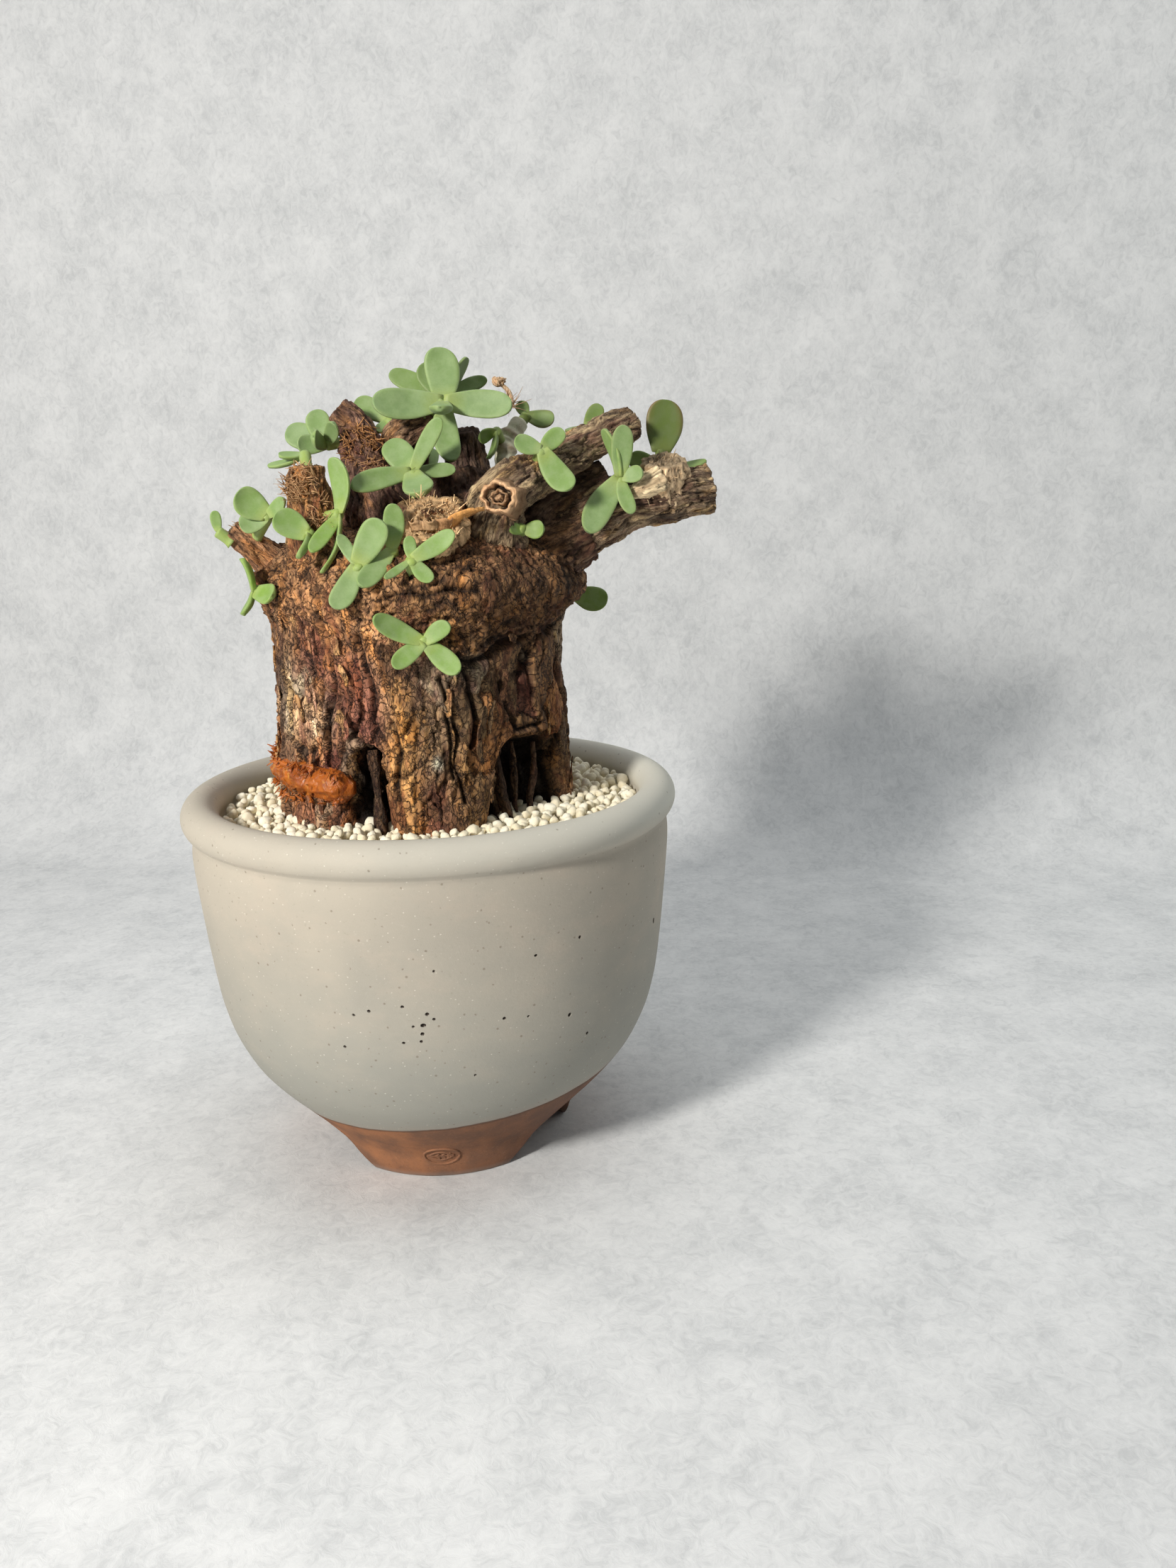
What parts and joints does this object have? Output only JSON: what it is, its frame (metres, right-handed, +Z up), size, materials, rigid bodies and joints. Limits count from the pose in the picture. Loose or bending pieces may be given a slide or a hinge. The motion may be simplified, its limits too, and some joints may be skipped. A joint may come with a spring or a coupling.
{
  "type": "potted succulent",
  "caption": "Old swollen succulent trunk with sawn branches and thick spoon-shaped leaves, in a round footed stoneware pot dressed with pale pumice.",
  "frame": {"origin": "middle of the bounding box's footprint, on the surface the feet stand on; the pot's own axis is 4.75 mm towards -X of it", "axes": "+Z up along the pot's axis; -Y is the front, with the widest foot and the leaf star on the trunk; +X is the side the long branch leans to"},
  "size_m": [0.1145, 0.105, 0.1688],
  "materials": {
    "stoneware": "matte beige-grey glaze with fine speckles above a bare brown clay foot",
    "net": "black plastic net",
    "soil": "dark gritty potting mix",
    "pumice": "loose cream pumice grains",
    "bark": "cracked flaking red-brown bark",
    "green_bark": "smooth grey-green young stem",
    "leaf": "waxy grey-green fleshy leaf, soft bloom",
    "dry_petal": "dry papery tan petals"
  },
  "bodies": {
    "root": {"branch_back_left": "bark", "branch_back_right": "bark", "branch_centre": "bark", "branch_dark": "bark", "branch_front_cut": "bark", "branch_left_back": "bark", "branch_left_front": "bark", "branch_left_low": "bark", "branch_lower_right": "bark", "branch_upper_right": "bark", "caudex": "bark", "drain_mesh": "net", "dried_flower": "dry_petal", "pot": "stoneware", "shoot_back_left": "leaf", "shoot_back_left_low": "leaf", "shoot_back_left_tip": "leaf", "shoot_back_low": "leaf", "shoot_back_right_tip": "leaf", "shoot_back_top": "leaf", "shoot_centre": "leaf", "shoot_crown": "leaf", "shoot_crown_back": "leaf", "shoot_crown_left": "leaf", "shoot_front_left": "leaf", "shoot_front_mid": "leaf", "shoot_front_right": "leaf", "shoot_front_star": "leaf", "shoot_left_cluster": "leaf", "shoot_left_front": "leaf", "shoot_left_long": "leaf", "shoot_left_low": "leaf", "shoot_left_tip": "leaf", "shoot_right_behind": "leaf", "shoot_right_edge_low": "leaf", "shoot_right_edge_up": "leaf", "shoot_right_main": "leaf", "shoot_right_mid": "leaf", "shoot_right_upright": "leaf", "shoot_shade": "leaf", "shoot_upper_back": "leaf", "shoot_young_low": "leaf", "shoot_young_top": "leaf", "soil": "soil", "top_dressing": "pumice", "young_stem": "green_bark"}
  },
  "joints": []
}
